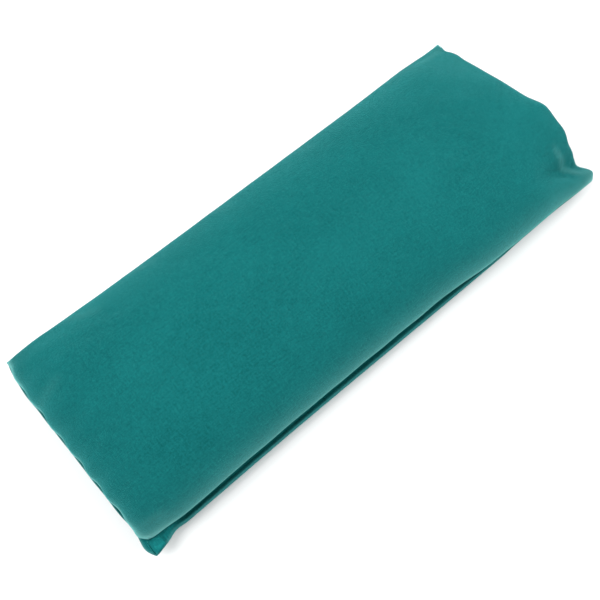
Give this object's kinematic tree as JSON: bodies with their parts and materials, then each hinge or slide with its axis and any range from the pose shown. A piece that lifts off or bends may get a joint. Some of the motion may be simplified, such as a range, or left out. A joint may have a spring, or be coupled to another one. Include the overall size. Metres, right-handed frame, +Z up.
{
  "type": "bolster pillow",
  "caption": "Flat soft bolster pillow: a zipped cloth cover with pointed corner ears round a filled inner case, with a sliding zip pull set back in one long side.",
  "frame": {"origin": "on the floor, under the middle of the pillow's plan box", "axes": "+X along the length to the end where the zip finishes closing, +Y across the width away from the zip side, +Z up"},
  "size_m": [0.658, 0.26, 0.085],
  "materials": {
    "cover_cloth": "matte",
    "sewing_thread": "matte",
    "zip_tape": "matte",
    "zip_coil": "satin",
    "zip_metal": "satin",
    "case_cloth": "matte",
    "fibre_filling": "matte",
    "label_cloth": "satin"
  },
  "bodies": {
    "pillow": {"cover_top_panel": "cover_cloth", "cover_bottom_panel": "cover_cloth", "zip_placket_upper": "cover_cloth", "zip_placket_lower": "cover_cloth", "cover_seam_thread": "sewing_thread", "zip_stitching_upper": "sewing_thread", "zip_stitching_lower": "sewing_thread", "zip_tape_upper": "zip_tape", "zip_tape_lower": "zip_tape", "zip_coil_upper": "zip_coil", "zip_coil_lower": "zip_coil", "zip_bottom_stop": "zip_metal", "zip_top_stop_upper": "zip_metal", "zip_top_stop_lower": "zip_metal", "inner_case_top": "case_cloth", "inner_case_bottom": "case_cloth", "inner_case_seam_thread": "case_cloth", "filling": "fibre_filling", "care_label": "label_cloth"},
    "zip_slider": {"zip_slider_body": "zip_metal"},
    "pull_tab": {"zip_pull_tab": "zip_metal"}
  },
  "joints": [
    {"name": "zip_slide", "type": "slide", "parent": "pillow", "child": "zip_slider", "axis": [1, 0, 0], "range_m": [-0.441, 0]},
    {"name": "tab_hinge", "type": "hinge", "parent": "zip_slider", "child": "pull_tab", "pos_m": [0.1566, -0.11305, 0.0255], "axis": [0, 0, -1], "range_deg": [0, 175]}
  ]
}
